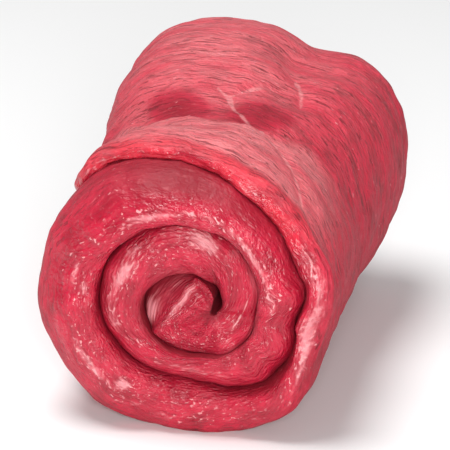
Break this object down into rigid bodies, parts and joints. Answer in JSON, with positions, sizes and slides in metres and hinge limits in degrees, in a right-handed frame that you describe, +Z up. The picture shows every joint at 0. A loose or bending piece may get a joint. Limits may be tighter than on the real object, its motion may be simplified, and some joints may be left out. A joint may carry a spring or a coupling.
{
  "type": "beef roulade",
  "caption": "Raw beef slice rolled up tightly into a plump roulade that lies on its side, its spiral of meat layers showing at the front end.",
  "frame": {"origin": "middle of the box round the roulade, on the surface that it rests on", "axes": "+Z up; +Y along the roll's axis, from the front end with the lip set back towards the fuller rear end; +X to the right as seen from the front"},
  "size_m": [0.059, 0.0876, 0.055],
  "materials": {
    "raw_beef": "wet raw meat, glossy"
  },
  "bodies": {
    "root": {"beef_roulade": "raw_beef"}
  },
  "joints": []
}
